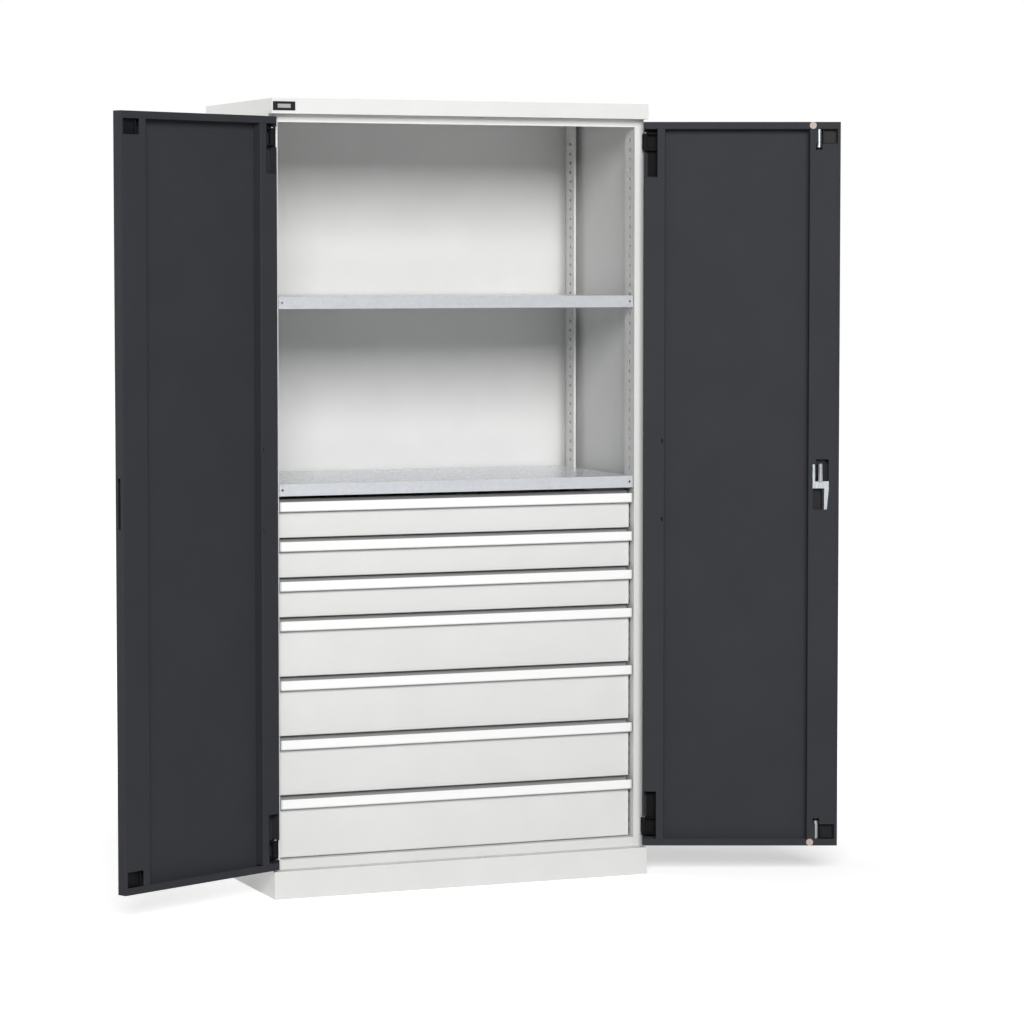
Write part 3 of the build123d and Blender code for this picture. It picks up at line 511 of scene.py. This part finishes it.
def dress_body():
    """The panels, shelves and fittings of the cabinet itself."""
    for name in PAINTED_BODY:
        dressed(name, body_paint, SHEET_ROUND, "root")
    dressed("plinth", plinth_paint, SHEET_ROUND, "root")
    for name in ("upper_shelf", "lower_shelf"):
        dressed(name, zinc, SHEET_ROUND, "root")
    dressed("shelf_hooks", zinc, SMALL_ROUND, "root")
    coat(nodes["slotted_uprights"], body_paint)
    coat(nodes["cabinet_runners"], zinc)
    coat(nodes["hinge_pins"], plated)
    # The left post's hinge plates are dark as a painted shade.
    dressed("hinge_brackets", hinge_black_and_shade, FITTING_ROUND, "root")
    dressed("plain_plate", black_plastic, FITTING_ROUND, "root")


def dress_doors():
    """The door sheets, their hinge leaves, and the buffers of the right one."""
    for hand in ("left", "right"):
        door = f"{hand}_door"
        for part in ("skin", "hinge_stile", "free_stile"):
            dressed(f"{door}_{part}", door_paint, SHEET_ROUND, door)
        dressed(f"{door}_hinge_leaves", black_steel, FITTING_ROUND, door)
    dressed("right_door_buffers", beige_plastic, SMALL_ROUND, "right_door")


def dress_lock():
    """The lock gear of the right door, from its case to the handle and the key barrel."""
    dressed("lock_case", black_plastic, CASE_ROUND, "right_door")
    dressed("lock_bracket", plated, FITTING_ROUND, "right_door")
    dressed("rod_guides", black_plastic, CASE_ROUND, "right_door")
    lock_level = sum(corner.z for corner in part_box("lock_cam")) / 2
    for rod in ("upper_rod", "lower_rod"):
        reach = max(abs(corner.z - lock_level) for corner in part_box(rod))
        steel = rod_metal(f"{rod} steel", lock_level, reach - ROD_TIP)
        dressed(rod, steel, CASE_ROUND, rod)
    dressed("lock_cam", plated, SMALL_ROUND, "handle")
    dressed("door_handle", black_plastic, HANDLE_ROUND, "handle")
    dressed("key_barrel", plated, BARREL_ROUND, "key_barrel")


def dress_drawers():
    """Front, finger channel, box and rails of each drawer."""
    for drawer in DRAWERS:
        dressed(f"{drawer}_front", body_paint, BLOCK_ROUND, drawer)
        # Each grip's channel carries a painted shade.
        dressed(f"{drawer}_grip", grip_white_and_shade, SHEET_ROUND, drawer, GRIP_ROLL)
        dressed(f"{drawer}_box", body_paint, SHEET_ROUND, drawer)
        coat(nodes[f"{drawer}_rails"], zinc)


dress_body()
dress_doors()
dress_lock()
dress_drawers()

# ---------------------------------------------------------------- small pieces


def door_place(hand):
    """The matrix from a door's own frame, on its pin, to the open door's place."""
    pin = Vector(joints[HINGE_JOINTS[hand]]["pos_m"])
    pin.z = 0
    return Matrix.Translation(pin) @ Matrix.Rotation(OPENING[hand], 4, "Z")


def corner_insert(hand, end):
    """A black moulded tray in a free stile's corner window, clear of the lock rod."""
    start = WINDOW_START if hand == "left" else ROD_SIDE
    low, high = WINDOW_LEVELS[end]
    way = INWARD[hand]
    across = sorted((way * DOOR_SEAT, way * INSERT_FACE))
    corner_low = (start + FIT, across[0], low + FIT)
    corner_high = (WINDOW_END - FIT, across[1], high - FIT)
    name = f"{hand}_{end}_corner_insert"
    piece = tray(name, corner_low, corner_high, INSERT_WALL, INSERT_DEPTH, way)
    rounded(piece, SHEET_ROUND)
    piece.data.transform(door_place(hand))
    finished(piece, black_plastic, f"{hand}_door")


def plate_inlay():
    """A pale bare sheet in the plate's sunk face."""
    low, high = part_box("plain_plate")
    face = low.y + INLAY_SUNK
    side, edge = INLAY_RIM + INLAY_GAP, INLAY_RIM / 2 + INLAY_GAP
    corner_low = (low.x + side, face - INLAY_THICKNESS, low.z + edge)
    corner_high = (high.x - side, face, high.z - edge)
    piece = cuboid("plate_inlay", corner_low, corner_high)
    rounded(piece, INLAY_ROUND, 1)
    finished(piece, inlay_grey, "root")


def painted_hinge_shade():
    """Dark sheets on the left post next to each of its hinge plates, a painted shade in its
    hinge windows.
    """
    low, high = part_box("hinge_brackets")
    start = low.x + PLATE_WIDTH
    half = PLATE_HEIGHT / 2
    for level in (low.z + half, high.z - half):
        corner_low = (start + FIT, POST_FACE - PLATE_THICKNESS, level - half)
        corner_high = (start + HINGE_SHADE_WIDTH, POST_FACE, level + half)
        piece = cuboid(f"painted_hinge_shade_{round(level / MM)}", corner_low, corner_high)
        rounded(piece, HINGE_SHADE_ROUND)
        # These dark sheets are a painted shade.
        finished(piece, black_steel, "root")


for hand in ("left", "right"):
    for end in ("lower", "upper"):
        corner_insert(hand, end)
plate_inlay()
painted_hinge_shade()

# ---------------------------------------------------------------- studio

WHITE = (1, 1, 1, 1)

# The floor's own glow, near the cabinet and far from it, for the camera alone.
FLOOR_SIZE = 80.0
FLOOR_TONE = 0.80
GLOW_NEAR = 0.54
GLOW_FAR = 1.0
GLOW_START = 0.9
GLOW_END = 2.6

SKY_STRENGTH = 0.09
KEY_AZIMUTH = math.radians(-13)
KEY_DISTANCE = 12.0
KEY_HEIGHT = 6.1
KEY_AIM = (0, 0, 1.0)
KEY_SIZE = (7.5, 4.6)
KEY_POWER = 1860
SIDE_FILL_PLACE = (-3.6, 3.2, 1.6)
SIDE_FILL_AIM = (-0.5, 0, 1.2)
SIDE_FILL_SIZE = (2.0, 3.0)
SIDE_FILL_POWER = 160

CAMERA_PLACE = (-3.2917, -8.7368, 1.6085)
CAMERA_YAW = math.radians(22.02)
CAMERA_TILT = math.radians(3.5)
CAMERA_LENS = 125.9
CAMERA_SENSOR = 36.0
CAMERA_SHIFT = -0.0355
CAMERA_REACH = 100.0


def camera_only(tree):
    """One for what the camera sees itself, and zero for what lights the scene."""
    return tree.nodes.new("ShaderNodeLightPath").outputs["Is Camera Ray"]


def floor_glow(tree, place):
    """A glow that grows smoothly with the distance from the cabinet."""
    reach = tree.nodes.new("ShaderNodeVectorMath")
    reach.operation = "LENGTH"
    tree.links.new(place, reach.inputs[0])
    glow = tree.nodes.new("ShaderNodeMapRange")
    glow.interpolation_type = "SMOOTHSTEP"
    glow.inputs["From Min"].default_value = GLOW_START
    glow.inputs["From Max"].default_value = GLOW_END
    glow.inputs["To Min"].default_value = GLOW_NEAR
    glow.inputs["To Max"].default_value = GLOW_FAR
    tree.links.new(reach.outputs["Value"], glow.inputs["Value"])
    return glow.outputs["Result"]


def studio_floor():
    """A pale floor that keeps its shadow near the cabinet and whitens away from it."""
    bpy.ops.object.select_all(action="DESELECT")
    bpy.ops.mesh.primitive_plane_add(size=FLOOR_SIZE, location=(0, 0, 0))
    floor = bpy.context.object
    floor.name = "studio_floor"
    material, tree, shader, place = new_material("pale studio floor", 0.9)
    shader.inputs["Base Color"].default_value = (FLOOR_TONE, FLOOR_TONE, FLOOR_TONE, 1)
    shader.inputs["Specular IOR Level"].default_value = 0.1
    shader.inputs["Emission Color"].default_value = WHITE
    seen = maths(tree, "MULTIPLY", floor_glow(tree, place), camera_only(tree))
    tree.links.new(seen, shader.inputs["Emission Strength"])
    coat(floor, material)


def studio_sky():
    """A dim even sky for the light, seen as white by the camera."""
    world = bpy.data.worlds.new("studio")
    bpy.context.scene.world = world
    world.use_nodes = True
    tree = world.node_tree
    dim = tree.nodes["Background"]
    dim.inputs["Color"].default_value = WHITE
    dim.inputs["Strength"].default_value = SKY_STRENGTH
    seen = tree.nodes.new("ShaderNodeBackground")
    seen.inputs["Color"].default_value = WHITE
    blend = tree.nodes.new("ShaderNodeMixShader")
    tree.links.new(camera_only(tree), blend.inputs["Fac"])
    tree.links.new(dim.outputs["Background"], blend.inputs[1])
    tree.links.new(seen.outputs["Background"], blend.inputs[2])
    tree.links.new(blend.outputs["Shader"], tree.nodes["World Output"].inputs["Surface"])


def lamp(name, place, aim, size, power):
    """A soft lamp that faces a point."""
    light = bpy.data.lights.new(name, "AREA")
    light.shape = "RECTANGLE"
    light.size, light.size_y = size
    light.energy = power
    holder = bpy.data.objects.new(name, light)
    bpy.context.scene.collection.objects.link(holder)
    holder.location = place
    way = Vector(aim) - Vector(place)
    holder.rotation_euler = way.to_track_quat("-Z", "Y").to_euler()


def main_camera():
    """A long lens that looks slightly down on the cabinet from its front left."""
    camera = bpy.data.objects.new("camera", bpy.data.cameras.new("camera"))
    bpy.context.scene.collection.objects.link(camera)
    bpy.context.scene.camera = camera
    camera.location = CAMERA_PLACE
    camera.rotation_euler = (math.pi / 2 - CAMERA_TILT, 0, -CAMERA_YAW)
    camera.data.lens = CAMERA_LENS
    camera.data.sensor_width = CAMERA_SENSOR
    camera.data.shift_y = CAMERA_SHIFT
    camera.data.clip_end = CAMERA_REACH


studio_floor()
studio_sky()
key_side = KEY_DISTANCE * math.sin(KEY_AZIMUTH)
key_front = -KEY_DISTANCE * math.cos(KEY_AZIMUTH)
lamp("key", (key_side, key_front, KEY_HEIGHT), KEY_AIM, KEY_SIZE, KEY_POWER)
lamp("side fill", SIDE_FILL_PLACE, SIDE_FILL_AIM, SIDE_FILL_SIZE, SIDE_FILL_POWER)
main_camera()

bpy.context.scene.view_settings.view_transform = "Standard"

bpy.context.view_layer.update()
